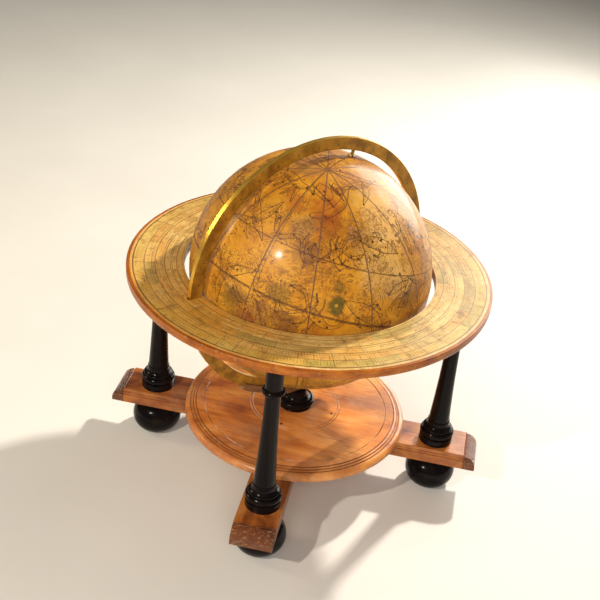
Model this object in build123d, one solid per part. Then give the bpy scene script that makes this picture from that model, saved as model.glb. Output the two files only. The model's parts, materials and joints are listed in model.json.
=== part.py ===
from build123d import *
from math import degrees
import os

# Celestial table globe. Millimetres, +Z up, origin on the floor under the centre of the stand.
# The meridian ring stands in the YZ plane, with the north notch of the horizon on +Y and east on +X.

os.makedirs("parts", exist_ok=True)

# ---------------------------------------------------------------- driving dimensions

# Ball and its layers, from the printed paper inwards
globe_radius = 170.0
gore_paper = 0.4
plaster_thickness = 3.6
papier_mache = 4.0
linen_thickness = 0.6
linen_width = 22.0
gore_count = 12
calotte_angle = 9.0            # half angle of each round cap of the map paper
pole_altitude = 73.4           # how far the north pole stands above the horizon
obliquity = 23.5               # angle between the poles of the equator and of the map
globe_turn = 26.0              # how far the ball is turned on its axle
gore_offset = -2.0             # longitude of the first seam between two gores

# Axle, end blocks, bushes and pivots
axle_radius = 11.0
axle_in_block = 8.0             # depth of the axle's end in its end block
end_block_radius = 36.0
end_block_thickness = 24.0
bush_radius = 5.5
bush_depth_in_axle = 8.0
bush_stand_out = 0.6
pivot_radius = 2.5
pivot_clearance = 0.05
pivot_end_gap = 3.0            # between the pin's tip and the bottom of the bush's seat
tack_radius = 0.8
tack_head_radius = 2.2
tack_head_thickness = 0.8
tack_length = 9.0
tack_angle = 9.5               # polar angle of the ring of tacks
tacks_per_block = 4

# Meridian ring
ring_gap = 9.0                 # between the ball and the ring
ring_width = 17.3
ring_thickness = 7.0
ring_bevel = 0.4
screw_slot = 0.8

# Stand
foot_height = 54.0
foot_radius = 37.0
foot_belly_height = 25.0
foot_sole_radius = 15.0
foot_neck_radius = 17.0
foot_neck_height = 4.0

beam_past_column = 64.0        # from a column's axis to the beam's end
beam_width = 58.0
beam_thickness = 25.0
nose_length = 18.0
nose_step = 2.0
nose_lip = 4.0
side_groove = 1.2
side_groove_drops = (6.0, 10.5)

disc_radius = 165.5
disc_thickness = 14.5
disc_ovolo = 8.0               # width of the round moulding at the rim
disc_fillet = 4.0              # width of each of the two flats inside it
disc_groove = 1.6
disc_single_groove_radius = 137.0
disc_double_groove_radius = 68.0
disc_double_groove_gap = 4.0
peg_radius = 2.4
peg_circle = 58.0
peg_depth_in_beam = 8.0
peg_turn = -9.5                # pegs stand beside the beam's centre line

leg_turn = -1.3                # the crossed beams sit a little askew under the horizon's notches

column_off_middle = -0.25      # column's axis from the middle line of the horizon's boards
column_plinth_radius = 24.5
column_shaft_radius = 15.0
column_top_radius = 10.2
column_neck_radius = 11.7
column_collar_drop = 52.0      # middle of the collar below the horizon
column_tenon_radius = 9.0
column_tenon_in_foot = 20.0
column_head_tenon_radius = 8.0
column_head_tenon = 8.5

horizon_radius = 256.0
horizon_inner_gap = 6.5        # between the ball and the horizon
horizon_board = 12.5
horizon_paper_thickness = 0.4
horizon_rise = 3.0             # top of the horizon above the middle of the ball
horizon_lower_round = 4.0
horizon_upper_round = 1.0
board_joint_angle = 22.5
paper_rim = 4.5                 # board left bare outside the paper
paper_inner_rim = 0.6
tongue_thickness = 4.0
tongue_width = 24.0
tongue_margin = 14.0           # wood left at both ends of a tongue
notch_side_gap = 0.6
notch_end_gap = 2.5
notch_corner = 1.5

pillar_height = 28.8           # from the disc to the cradle's seat; it sets the columns' height
pillar_plinth_radius = 25.0
pillar_neck_radius = 15.5
pillar_tenon_radius = 9.0
pillar_tenon_in_beam = 8.0
pillar_head_tenon_radius = 5.0
pillar_head_tenon = 5.0

cradle_half_angle = 31.0
cradle_thickness = 14.0
cradle_floor = 4.0             # wood under the ring
cradle_cheek = 6.2             # how far the cheeks stand up beside the ring
cradle_seat_half_width = 22.0
cradle_seat_drop = 10.3        # underside of the seat below the ring's lowest point
cradle_ring_gap = 0.4

# ---------------------------------------------------------------- derived places

ring_inner = globe_radius + ring_gap
ring_outer = ring_inner + ring_width
horizon_inner = globe_radius + horizon_inner_gap

beam_top = foot_height + beam_thickness
disc_top = beam_top + disc_thickness
column_height = (disc_thickness + pillar_height + cradle_seat_drop + ring_outer + horizon_rise
                 - horizon_paper_thickness - horizon_board)
column_circle = (horizon_inner + horizon_radius) / 2 + column_off_middle
beam_length = 2 * (column_circle + beam_past_column)
horizon_underside = beam_top + column_height
board_top = horizon_underside + horizon_board
centre_height = board_top + horizon_paper_thickness - horizon_rise

plaster_radius = globe_radius - gore_paper
shell_radius = plaster_radius - plaster_thickness
shell_inner = shell_radius - papier_mache
block_low = shell_inner - end_block_thickness
axle_half_length = block_low + axle_in_block

leg_angles = {name: leg_turn + angle for name, angle in (("ne", 45), ("nw", 135), ("sw", 225), ("se", 315))}
centre = Pos(0, 0, centre_height)
polar_frame = centre * Rot(X=pole_altitude - 90)
map_frame = polar_frame * Rot(Z=globe_turn) * Rot(X=obliquity)

nodes = {}


def profile_face(outline):
    """Face in the XZ plane from (radius, height) corners. A third value bulges the edge that leads there."""
    edges = []
    for before, corner in zip(outline, outline[1:] + outline[:1]):
        start, end = Vector(before[0], before[1]), Vector(corner[0], corner[1])
        if len(corner) == 3:
            along = end - start
            side = Vector(along.Y, -along.X).normalized() * corner[2]
            edges.append(ThreePointArc(start, (start + end) * 0.5 + side, end))
        else:
            edges.append(Line(start, end))
    return Plane.XZ * make_face(edges)


def turned(outline, angle=360.0):
    """Solid of revolution about Z from a half outline that goes round counter-clockwise."""
    return revolve(profile_face(outline), axis=Axis.Z, revolution_arc=angle)


def layer(inner, outer, polar_from, polar_to, angle=360.0):
    """Part of a spherical shell about the origin, between two polar angles in degrees."""
    def at(radius, polar):
        return Vector(0, radius).rotate(Axis.Z, -polar)

    middle = (polar_from + polar_to) / 2
    edges = [ThreePointArc(at(outer, polar_from), at(outer, middle), at(outer, polar_to)),
             Line(at(outer, polar_to), at(inner, polar_to)),
             ThreePointArc(at(inner, polar_to), at(inner, middle), at(inner, polar_from))]
    if polar_from > 0:
        edges.append(Line(at(inner, polar_from), at(outer, polar_from)))
    else:
        edges.append(Line((0, inner), (0, outer)))
    return revolve(Plane.XZ * make_face(edges), axis=Axis.Z, revolution_arc=angle)


def rod(radius, low, high):
    """Upright cylinder about Z between two heights."""
    return Pos(0, 0, low) * Cylinder(radius, high - low, align=(Align.CENTER, Align.CENTER, Align.MIN))


def slab(x_size, y_size, low, high):
    """Upright block centred on Z between two heights."""
    return Pos(0, 0, low) * Box(x_size, y_size, high - low, align=(Align.CENTER, Align.CENTER, Align.MIN))


# ---------------------------------------------------------------- feet and columns

def bun_foot():
    """Turned flattened ball with a flat sole, bored for the column's tenon."""
    belly, shoulder = foot_belly_height, foot_height - foot_neck_height
    lower = foot_radius - foot_sole_radius
    upper = foot_radius - foot_neck_radius
    edges = [Line((0, 0), (foot_sole_radius, 0)),
             EllipticalCenterArc((foot_sole_radius, belly), lower, belly, 270, arc_size=90),
             EllipticalCenterArc((foot_neck_radius, belly), upper, shoulder - belly, 0, arc_size=90),
             Line((foot_neck_radius, shoulder), (foot_neck_radius, foot_height)),
             Line((foot_neck_radius, foot_height), (0, foot_height)),
             Line((0, foot_height), (0, 0))]
    ball = revolve(Plane.XZ * make_face(edges), axis=Axis.Z)
    return ball - rod(column_tenon_radius, foot_height - column_tenon_in_foot, foot_height)


def column():
    """Turned column from its tenon in the foot to its tenon in the horizon; zero is the beam's top."""
    plinth, top = column_plinth_radius, column_height
    collar = top - column_collar_drop
    head = top + column_head_tenon
    tenon_foot = -(beam_thickness + column_tenon_in_foot)
    return turned([
        (0, tenon_foot), (column_tenon_radius, tenon_foot), (column_tenon_radius, 0),
        (plinth, 0), (plinth, 9.5), (plinth - 1.5, 10.5), (plinth - 2.5, 10.5), (plinth - 2.5, 12),
        (plinth - 1.5, 12), (plinth - 1.5, 21, 2.2), (plinth - 3, 21), (plinth - 3, 22.5),
        (plinth - 4.5, 25.5, 1.0), (column_shaft_radius + 1.2, 35, -1.8), (column_shaft_radius + 1.2, 36.5),
        (column_shaft_radius + 0.2, 38), (column_top_radius, collar - 7, -1.0),
        (column_top_radius + 1.6, collar - 6), (column_top_radius + 1.6, collar - 4.5),
        (column_neck_radius + 0.6, collar + 4, 3.4), (column_neck_radius, collar + 5.5),
        (column_neck_radius, top - 4), (column_neck_radius + 1.8, top - 1, -0.6), (column_neck_radius + 1.8, top),
        (column_head_tenon_radius, top), (column_head_tenon_radius, head), (0, head)])


for name, angle in leg_angles.items():
    place = Rot(Z=angle) * Pos(column_circle, 0, 0)
    nodes["bun_foot_" + name] = place * bun_foot()
    nodes["column_" + name] = place * Pos(0, 0, beam_top) * column()

# ---------------------------------------------------------------- crossed stretchers

def stretcher():
    """One beam along X with moulded noses, scratched sides and holes for the column tenons; zero is its underside."""
    end, step = beam_length / 2, beam_length / 2 - nose_length
    shoulder = beam_thickness - nose_step
    drop = shoulder - nose_lip
    nose = EllipticalCenterArc((step, nose_lip), nose_length, drop, 0, arc_size=90)
    far_nose = EllipticalCenterArc((-step, nose_lip), nose_length, drop, 90, arc_size=90)
    edges = [Line((-end, 0), (end, 0)), Line((end, 0), (end, nose_lip)), nose,
             Line((step, shoulder), (step, beam_thickness)),
             Line((step, beam_thickness), (-step, beam_thickness)),
             Line((-step, beam_thickness), (-step, shoulder)), far_nose,
             Line((-end, nose_lip), (-end, 0))]
    beam = extrude(Plane.XZ * make_face(edges), beam_width / 2, both=True)
    for depth in side_groove_drops:
        for side in (-1, 1):
            height = beam_thickness - depth
            beam -= Pos(0, side * beam_width / 2, height) * Box(beam_length + 1, 2 * side_groove, side_groove)
    for side in (-1, 1):
        beam -= Pos(side * column_circle, 0, 0) * rod(column_tenon_radius, 0, beam_thickness)
    return beam


lap = beam_thickness / 2
pillar_hole = rod(pillar_tenon_radius, beam_top - pillar_tenon_in_beam, disc_top)
peg = rod(peg_radius, beam_top - peg_depth_in_beam, disc_top)
pegs = [Rot(Z=angle + peg_turn) * Pos(peg_circle, 0, 0) * peg for angle in leg_angles.values()]

lower = Pos(0, 0, foot_height) * Rot(Z=leg_angles["ne"]) * (stretcher() - slab(beam_width, beam_width, lap,
                                                                              beam_thickness))
upper = Pos(0, 0, foot_height) * Rot(Z=leg_angles["nw"]) * (stretcher() - slab(beam_width, beam_width, 0, lap))
nodes["stretcher_lower"] = lower - pillar_hole - pegs
nodes["stretcher_upper"] = upper - pillar_hole - pegs

# ---------------------------------------------------------------- base disc and pillar

def groove_cut(radius):
    """Ring that cuts one turned groove into the top of the base disc."""
    return Pos(0, 0, disc_thickness) * Torus(radius, disc_groove / 2)


def base_disc():
    """Turned disc with an ovolo and two flats at its rim; zero is its underside."""
    rim, first = disc_radius, disc_radius - disc_ovolo
    second = first - disc_fillet
    third = second - disc_fillet
    top = disc_thickness
    disc = turned([(0, 0), (rim - 1, 0), (rim, 1), (rim, 3.5), (first, top - 3.6, 2.6), (first, top - 2.4),
                   (second, top - 2.4), (second, top - 1.3), (third, top - 1.0, 0.4), (third, top), (0, top)])
    for radius in (disc_single_groove_radius, disc_double_groove_radius,
                   disc_double_groove_radius - disc_double_groove_gap):
        disc -= groove_cut(radius)
    return disc


nodes["base_disc"] = Pos(0, 0, beam_top) * base_disc() - pillar_hole - pegs
nodes["disc_pegs"] = Compound(children=pegs)

pillar_top = centre_height - ring_outer - cradle_seat_drop
plinth = pillar_plinth_radius
nodes["centre_pillar"] = turned([
    (0, beam_top - pillar_tenon_in_beam), (pillar_tenon_radius, beam_top - pillar_tenon_in_beam),
    (pillar_tenon_radius, disc_top), (plinth, disc_top), (plinth, disc_top + 4), (plinth - 1.5, disc_top + 4.6),
    (plinth - 1.5, disc_top + 5.6), (plinth - 0.5, disc_top + 5.6), (plinth - 1, disc_top + 13.4, 3.6),
    (plinth - 3.5, disc_top + 13.4), (plinth - 3.5, disc_top + 14.4),
    (pillar_neck_radius, pillar_top - 5, -1.6), (pillar_neck_radius, pillar_top),
    (pillar_head_tenon_radius, pillar_top), (pillar_head_tenon_radius, pillar_top + pillar_head_tenon),
    (0, pillar_top + pillar_head_tenon)])

# ---------------------------------------------------------------- cradle under the meridian ring

def disc_across(radius, thickness):
    """Flat disc about the ball's centre, standing in the YZ plane."""
    return centre * Rot(Y=90) * Cylinder(radius, thickness)


def cradle():
    """Curved wooden saddle with a slot for the meridian ring, on a flat seat for the pillar."""
    slot_floor = ring_outer + cradle_ring_gap
    bow = disc_across(slot_floor + cradle_floor, cradle_thickness)
    reach = 2 * ring_outer
    for side in (-1, 1):
        end_plane = centre * Rot(X=side * cradle_half_angle)
        bow -= end_plane * Pos(0, side * reach / 2, 0) * Box(cradle_thickness + 2, reach, 2 * reach)
    seat = slab(cradle_thickness, 2 * cradle_seat_half_width, pillar_top, pillar_top + cradle_seat_drop)
    body = bow + seat
    body -= disc_across(slot_floor - cradle_cheek, cradle_thickness + 2)
    body -= disc_across(slot_floor, ring_thickness + 2 * cradle_ring_gap)
    return body - rod(pillar_head_tenon_radius, pillar_top, pillar_top + pillar_head_tenon)


nodes["meridian_cradle"] = cradle()

# ---------------------------------------------------------------- horizon

def horizon_sector(outline, start, sweep):
    """Part of the horizon's ring from one angle on; heights count from its underside."""
    return Pos(0, 0, horizon_underside) * Rot(Z=start) * turned(outline, sweep)


board_outline = [
    (horizon_inner, 0), (horizon_radius - horizon_lower_round, 0),
    (horizon_radius, horizon_lower_round, 0.3 * horizon_lower_round),
    (horizon_radius, horizon_board - horizon_upper_round),
    (horizon_radius - horizon_upper_round, horizon_board, 0.3 * horizon_upper_round),
    (horizon_inner, horizon_board)]
paper_outline = [
    (horizon_inner + paper_inner_rim, horizon_board), (horizon_radius - paper_rim, horizon_board),
    (horizon_radius - paper_rim, horizon_board + horizon_paper_thickness),
    (horizon_inner + paper_inner_rim, horizon_board + horizon_paper_thickness)]

notch_width = ring_thickness + 2 * notch_side_gap
notch_reach = ring_outer + notch_end_gap
notch_plan = Pos(0, notch_reach / 2) * RectangleRounded(notch_width, notch_reach, notch_corner)
notches = [Rot(Z=turn) * Pos(0, 0, horizon_underside - 1) * extrude(notch_plan, horizon_board + 3)
           for turn in (0, 180)]

tongue_length = horizon_radius - horizon_inner - 2 * tongue_margin
tongue_middle = (horizon_radius + horizon_inner) / 2
tongues = [Rot(Z=board_joint_angle + 90 * quarter)
           * Pos(tongue_middle, 0, horizon_underside + horizon_board / 2)
           * Box(tongue_length, tongue_width, tongue_thickness) for quarter in range(4)]

head_tenons = [Rot(Z=angle) * Pos(column_circle, 0, 0)
               * rod(column_head_tenon_radius, horizon_underside, horizon_underside + column_head_tenon)
               for angle in leg_angles.values()]

for quarter, name in enumerate(("north", "west", "south", "east")):
    board = horizon_sector(board_outline, board_joint_angle + 90 * quarter, 90)
    nodes["horizon_board_" + name] = board - notches - tongues - head_tenons
nodes["horizon_tongues"] = Compound(children=tongues)
nodes["horizon_paper"] = Compound(children=[
    horizon_sector(paper_outline, 90 * quarter, 90) - notches for quarter in range(4)])

# ---------------------------------------------------------------- meridian ring and pivots

ring_half = ring_thickness / 2
ring = turned([
    (ring_inner, -ring_half + ring_bevel), (ring_inner + ring_bevel, -ring_half),
    (ring_outer - ring_bevel, -ring_half), (ring_outer, -ring_half + ring_bevel),
    (ring_outer, ring_half - ring_bevel), (ring_outer - ring_bevel, ring_half),
    (ring_inner + ring_bevel, ring_half), (ring_inner, ring_half - ring_bevel)])
pivot_tip = axle_half_length - bush_depth_in_axle + pivot_end_gap
pivot_head = ring_outer - ring_bevel
pole_sides = {"north": polar_frame, "south": polar_frame * Rot(X=180)}

pivot = rod(pivot_radius, pivot_tip, pivot_head) - Pos(0, 0, pivot_head) * Box(screw_slot, 3 * pivot_radius, 2)
pivot_hole = rod(pivot_radius, ring_inner - 2, ring_outer + 2)
nodes["meridian_ring"] = centre * Rot(Y=90) * ring - [frame * pivot_hole for frame in pole_sides.values()]

# ---------------------------------------------------------------- ball: axle, blocks, shells, plaster, paper

bush_low = axle_half_length - bush_depth_in_axle
bush_high = globe_radius + bush_stand_out
bush_seat = rod(bush_radius, bush_low, bush_high)
bush = bush_seat - rod(pivot_radius + pivot_clearance, bush_low, bush_high)

tack = rod(tack_radius, shell_radius - tack_length, shell_radius)
tack += rod(tack_head_radius, shell_radius, shell_radius + tack_head_thickness)
tack_ring = [Rot(Z=45 + turn * 360 / tacks_per_block) * Rot(Y=tack_angle) * tack
             for turn in range(tacks_per_block)]

end_block = Sphere(shell_inner) & rod(end_block_radius, block_low, shell_inner)
end_block -= rod(axle_radius, block_low, axle_half_length)
end_block = end_block - bush_seat - tack_ring
half_shell = layer(shell_inner, shell_radius, 0, 90) - bush_seat - tack_ring

all_tacks = []
for name, frame in pole_sides.items():
    nodes[name + "_pivot"] = frame * pivot
    nodes["pole_bush_" + name] = frame * bush
    nodes["end_block_" + name] = frame * end_block
    nodes["shell_" + name] = frame * half_shell
    all_tacks += [frame * one for one in tack_ring]
nodes["shell_tacks"] = Compound(children=all_tacks)

seats = [frame * bush_seat for frame in pole_sides.values()]
nodes["axle_rod"] = polar_frame * rod(axle_radius, -axle_half_length, axle_half_length) - seats

linen_angle = degrees(linen_width / 2 / shell_radius)
strip = layer(shell_radius, shell_radius + linen_thickness, 90 - linen_angle, 90 + linen_angle)
nodes["seam_strip"] = polar_frame * strip

coat = Sphere(plaster_radius) - Sphere(shell_radius)
nodes["plaster_coat"] = polar_frame * (coat - strip) - seats - all_tacks

gore_sweep = 360 / gore_count
gore = layer(plaster_radius, globe_radius, calotte_angle, 180 - calotte_angle, gore_sweep)
nodes["map_gores"] = Compound(children=[
    map_frame * Rot(Z=gore_offset + gore_sweep * number) * gore - seats for number in range(gore_count)])
calotte = layer(plaster_radius, globe_radius, 0, calotte_angle)
nodes["map_calottes"] = Compound(children=[map_frame * calotte, map_frame * Rot(X=180) * calotte])

for name, shape in nodes.items():
    export_step(shape, "parts/" + name + ".step")
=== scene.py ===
import json
import math
import random

import bmesh
import bpy
from mathutils import Matrix, Vector, noise


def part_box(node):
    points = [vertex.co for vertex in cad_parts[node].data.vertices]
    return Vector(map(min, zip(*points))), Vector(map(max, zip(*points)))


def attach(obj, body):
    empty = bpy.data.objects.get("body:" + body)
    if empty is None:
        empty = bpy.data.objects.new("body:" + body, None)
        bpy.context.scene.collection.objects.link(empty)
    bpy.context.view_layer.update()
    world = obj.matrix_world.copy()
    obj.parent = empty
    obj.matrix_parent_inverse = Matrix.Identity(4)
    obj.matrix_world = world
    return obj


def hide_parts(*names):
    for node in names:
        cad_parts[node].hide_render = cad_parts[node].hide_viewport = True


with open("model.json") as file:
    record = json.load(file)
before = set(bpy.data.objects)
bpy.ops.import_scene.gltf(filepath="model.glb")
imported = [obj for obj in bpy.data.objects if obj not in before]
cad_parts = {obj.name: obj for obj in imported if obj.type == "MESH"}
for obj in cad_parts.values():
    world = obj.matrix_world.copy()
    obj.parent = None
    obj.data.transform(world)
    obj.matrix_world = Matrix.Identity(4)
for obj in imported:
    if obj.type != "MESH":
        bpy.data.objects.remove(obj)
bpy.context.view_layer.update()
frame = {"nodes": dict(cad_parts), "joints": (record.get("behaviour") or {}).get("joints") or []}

nodes = frame["nodes"]
joints = {joint["name"]: joint for joint in frame["joints"]}
middle = Vector(joints["globe_spin"]["pos_m"])
pole = Vector(joints["globe_spin"]["axis"]).normalized()

# ---------------------------------------------------------------- studio
# A key lamp and a broad sheen behind the right shoulder of the ball, a low fill in front, a warm lamp on the
# left and a small one that puts a spark on the varnish. The lens looks down on the ball from the south-east.

LENS = 65.6
LENS_DISTANCE = 1.5344
LENS_ELEVATION = 31.178
LENS_AZIMUTH = 51.8
LENS_ROLL = 6.25
BALL_RIGHT_OF_AXIS = 0.0148
BALL_ABOVE_AXIS = 0.0450


def turn(axis, degrees):
    return Matrix.Rotation(math.radians(degrees), 4, axis)


def add_object(name, data):
    made = bpy.data.objects.new(name, data)
    bpy.context.scene.collection.objects.link(made)
    return made


camera_data = bpy.data.cameras.new("camera")
camera_data.lens = LENS
camera = add_object("camera", camera_data)
camera.matrix_world = (
    Matrix.Translation(middle) @ turn("Z", LENS_AZIMUTH) @ turn("X", 90 - LENS_ELEVATION) @ turn("Z", LENS_ROLL)
    @ Matrix.Translation((-BALL_RIGHT_OF_AXIS, -BALL_ABOVE_AXIS, LENS_DISTANCE)))
bpy.context.scene.camera = camera


def lamp(name, azimuth, elevation, distance, size, power, colour):
    """Square area lamp that looks at the ball from a compass direction in the object's own axes."""
    data = bpy.data.lights.new(name, "AREA")
    data.energy, data.size, data.color = power, size, colour
    made = add_object(name, data)
    made.matrix_world = (Matrix.Translation(middle) @ turn("Z", azimuth + 90) @ turn("X", 90 - elevation)
                         @ Matrix.Translation((0, 0, distance)))
    made.visible_camera = False
    return made


lamp("key", 104, 39, 2.2, 0.12, 72, (1.0, 0.93, 0.80)).visible_glossy = False
lamp("sheen", 108, 17, 2.2, 1.5, 62, (1.0, 0.97, 0.90)).visible_diffuse = False
lamp("front", 285.5, 33, 2.0, 0.06, 20, (1.0, 0.90, 0.76))
lamp("low_fill", 322, 24, 2.4, 1.4, 32, (1.0, 0.93, 0.84)).visible_glossy = False
lamp("left", 225, 21, 2.2, 0.4, 9, (1.0, 0.84, 0.52))

world = bpy.data.worlds.new("studio")
world.use_nodes = True
world.node_tree.nodes["Background"].inputs["Color"].default_value = (0.95, 0.90, 0.82, 1)
world.node_tree.nodes["Background"].inputs["Strength"].default_value = 0.15
bpy.context.scene.world = world
bpy.context.scene.view_settings.view_transform = "Standard"

# ---------------------------------------------------------------- bun feet, columns and pillar
# Turned pear wood, stained black and polished. Each column runs through its beam into the foot below it,
# and the short pillar stands in the middle of the base disc.

EBONY_DARK = (0.003, 0.0025, 0.003)
EBONY_BROWN = (0.010, 0.006, 0.005)
EBONY_WORN = (0.018, 0.010, 0.006)


class Wire:
    """One socket of a material's nodes. Arithmetic on it adds Math nodes."""

    def __init__(self, tree, socket):
        self.tree, self.socket = tree, socket

    def node(self, kind, settings=None, sockets=None, out=0):
        """Any other node: its settings first, then the values or wires of its sockets."""
        made = self.tree.nodes.new("ShaderNode" + kind)
        for key, value in (settings or {}).items():
            if key == "stops":
                ramp = made.color_ramp.elements
                while len(ramp) < len(value):
                    ramp.new(0.5)
                for element, (place, colour) in zip(ramp, value):
                    element.position, element.color = place, (*colour, 1)
            else:
                setattr(made, key, value)
        for key, value in (sockets or {}).items():
            if isinstance(value, Wire):
                self.tree.links.new(value.socket, made.inputs[key])
            else:
                made.inputs[key].default_value = value
        return Wire(self.tree, made.outputs[out])

    def maths(self, operation, first, second=0.0):
        return self.node("Math", {"operation": operation}, {0: first, 1: second})

    def __add__(self, other):
        return self.maths("ADD", self, other)

    def __sub__(self, other):
        return self.maths("SUBTRACT", self, other)

    def __mul__(self, other):
        return self.maths("MULTIPLY", self, other)

    def __truediv__(self, other):
        return self.maths("DIVIDE", self, other)

    def __rsub__(self, other):
        return self.maths("SUBTRACT", other, self)

    __radd__ = __add__
    __rmul__ = __mul__

    def step(self, low, high):
        """Rises smoothly from 0 at low to 1 at high."""
        limits = {"Value": self, "From Min": low, "From Max": high}
        return self.node("MapRange", {"interpolation_type": "SMOOTHSTEP"}, limits)

    def line(self, place, half_width):
        """1 where this value is within half_width of a place, with soft edges."""
        return 1 - (self - place).size().step(half_width * 0.6, half_width * 1.4)

    def mix(self, low, high):
        """Colour that goes from low, where this is 0, to high, where it is 1."""
        def colour(value):
            return value if isinstance(value, Wire) else (*value, 1)
        return self.node("Mix", {"data_type": "RGBA"}, {0: self, 6: colour(low), 7: colour(high)}, out=2)

    def ramp(self, *stops):
        return self.node("ValToRGB", {"stops": stops}, {0: self})

    def noise(self, scale, detail=3.0, roughness=0.55, stretch=None, distortion=0.0, angle=0.0):
        """Cloudy value between 0 and 1; stretch multiplies the scale along each axis after a turn about Z."""
        place = self
        if angle:
            place = place.node("Mapping", {}, {"Vector": place, "Rotation": (0, 0, math.radians(angle))})
        if stretch:
            place = place.node("Mapping", {}, {"Vector": place, "Scale": stretch})
        return self.node("TexNoise", {}, {"Vector": place, "Scale": scale, "Detail": detail,
                                          "Roughness": roughness, "Distortion": distortion})

    def bump(self, distance, strength=1.0):
        return self.node("Bump", {}, {"Height": self, "Distance": distance, "Strength": strength})

    def parts(self):
        """X, Y and Z of a place."""
        return [self.node("SeparateXYZ", {}, {0: self}, out=index) for index in range(3)]

    def larger(self, other):
        return self.maths("MAXIMUM", self, other)

    def size(self):
        return self.maths("ABSOLUTE", self)


def finish(name, paint, **fixed):
    """Material whose paint function gives the varying sockets and whose fixed values sit on the shader."""
    material = bpy.data.materials.new(name)
    material.use_nodes = True
    tree = material.node_tree
    shader = tree.nodes["Principled BSDF"]
    for key, value in fixed.items():
        shader.inputs[key.replace("_", " ")].default_value = value
    place = Wire(tree, tree.nodes.new("ShaderNodeTexCoord").outputs["Object"])
    for key, wire in paint(place).items():
        tree.links.new(wire.socket, shader.inputs[key])
    return material


def coat(material, *names):
    """Gives the finish to CAD pieces."""
    for name in names:
        slots = nodes[name].data.materials
        slots.clear()
        slots.append(material)


def paint_ebony(place):
    streaks = place.noise(55, 4, stretch=(1, 1, 0.12))
    wear = place.noise(18, 3).step(0.62, 0.80)
    pores = place.noise(420, 2, stretch=(1, 1, 0.2))
    handled = place.noise(26, 3)
    return {
        "Base Color": wear.mix(streaks.ramp((0.35, EBONY_DARK), (0.75, EBONY_BROWN)), EBONY_WORN),
        "Roughness": 0.08 + handled * 0.18 + wear * 0.10,
        "Normal": (pores * 0.35 + streaks * 0.65).bump(0.0004, 0.35),
    }


ebony = finish("ebonised_polish", paint_ebony, Specular_IOR_Level=0.12)
LEGS = ("ne", "nw", "sw", "se")
coat(ebony, "centre_pillar", *("bun_foot_" + leg for leg in LEGS), *("column_" + leg for leg in LEGS))

# ---------------------------------------------------------------- stretchers, base disc and pegs
# Reddish walnut, planed and waxed. The moulded ends are rubbed shiny, with scratched beads and painted glints. The
# disc's turned grooves carry painted shade and painted highlight, and the steps of its moulded rim carry painted
# shade.

BEAM_TONES = ((0.10, 0.022, 0.006), (0.32, 0.092, 0.017), (0.50, 0.190, 0.036))
DISC_TONES = ((0.27, 0.056, 0.008), (0.64, 0.205, 0.027), (0.86, 0.400, 0.085))
WALNUT_WORN = (0.72, 0.48, 0.27)
NOSE_DARK, NOSE_GLINT = (0.10, 0.026, 0.008), (0.66, 0.32, 0.14)
NOSE_STARTS = (0.261, 0.264)
BEAM_SIDE = (0.0280, 0.0287)


def walnut(place, angle, figure_scale, tones):
    """Colour, gloss and relief of a walnut board whose grain runs at an angle to X."""
    grain = place.noise(60, 6, 0.62, stretch=(0.07, 1, 1), distortion=0.4, angle=-angle)
    pores = place.noise(300, 3, 0.6, stretch=(0.08, 1, 1), angle=-angle)
    figure = place.noise(figure_scale, 3, 0.5, stretch=(0.6, 1, 1), distortion=1.2, angle=-angle - 20)
    tone = grain * 0.55 + figure * 0.85 - 0.20
    wood = tone.ramp(*zip((0.30, 0.48, 0.68), tones))
    dark_pores = pores.step(0.56, 0.68)
    wood = (dark_pores * 0.5).mix(wood, tones[0])
    haze = place.noise(14, 4, 0.6).step(0.50, 0.80)
    wood = (haze * 0.16).mix(wood, WALNUT_WORN)
    relief = grain * 0.5 + pores * 0.5 + place.noise(700, 2) * 0.12
    gloss = 0.27 + haze * 0.20 + place.noise(40, 3) * 0.12
    return wood, gloss, relief


def paint_stretcher(angle):
    def paint(place):
        wood, gloss, relief = walnut(place, angle, 16, BEAM_TONES)
        along = place.node("Mapping", {}, {"Vector": place, "Rotation": (0, 0, math.radians(-angle))})
        reach, aside, _ = along.parts()
        end = reach.size().step(*NOSE_STARTS)
        beads = place.noise(330, 3, 0.6, stretch=(1, 0.45, 1), angle=-angle)
        glint_specks = place.noise(420, 3, 0.65, stretch=(1, 0.40, 1), angle=-angle).step(0.55, 0.64)
        wood = (end * 0.75).mix(wood, NOSE_DARK)
        # Pale specks on the moulded ends are painted glints of the varnish.
        wood = (end * glint_specks * 0.30).mix(wood, NOSE_GLINT)
        side = aside.size().step(*BEAM_SIDE)
        dirt = place.noise(70, 4, 0.6).step(0.42, 0.62)
        wood = (side * dirt * 0.30).mix(wood, BEAM_TONES[0])
        return {"Base Color": wood, "Roughness": gloss - end * 0.18,
                "Normal": (relief + end * beads * 8).bump(0.0016, 0.6)}
    return paint


leg_angle = math.degrees(math.atan2(*reversed(sum(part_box("bun_foot_ne"), Vector())[:2])))
for beam, angle in (("lower", leg_angle), ("upper", leg_angle + 90)):
    coat(finish("walnut_beam_" + beam, paint_stretcher(angle), Coat_Weight=0.12, Coat_Roughness=0.2),
         "stretcher_" + beam)

SINGLE_GROOVE = 0.137
DOUBLE_GROOVES = (0.068, 0.064)
MOULDING_STEPS = (0.1497, 0.1537, 0.1577)
MOULDED_RIM = (0.1495, 0.1505)
GROOVE_SHADE, GROOVE_HIGHLIGHT = (0.10, 0.03, 0.01), (0.66, 0.50, 0.34)
DISC_DUST = (0.66, 0.40, 0.22)
STEP_SHADE, RIM_BROWN = (0.10, 0.025, 0.007), (0.36, 0.12, 0.03)
PEG_DARK, PEG_PALE = (0.03, 0.012, 0.006), (0.12, 0.05, 0.02)


def from_axis(place):
    """Distance from the globe's upright axis, and X and Y."""
    across, beside, _ = place.parts()
    return across.maths("SQRT", across * across + beside * beside), across, beside


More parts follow.
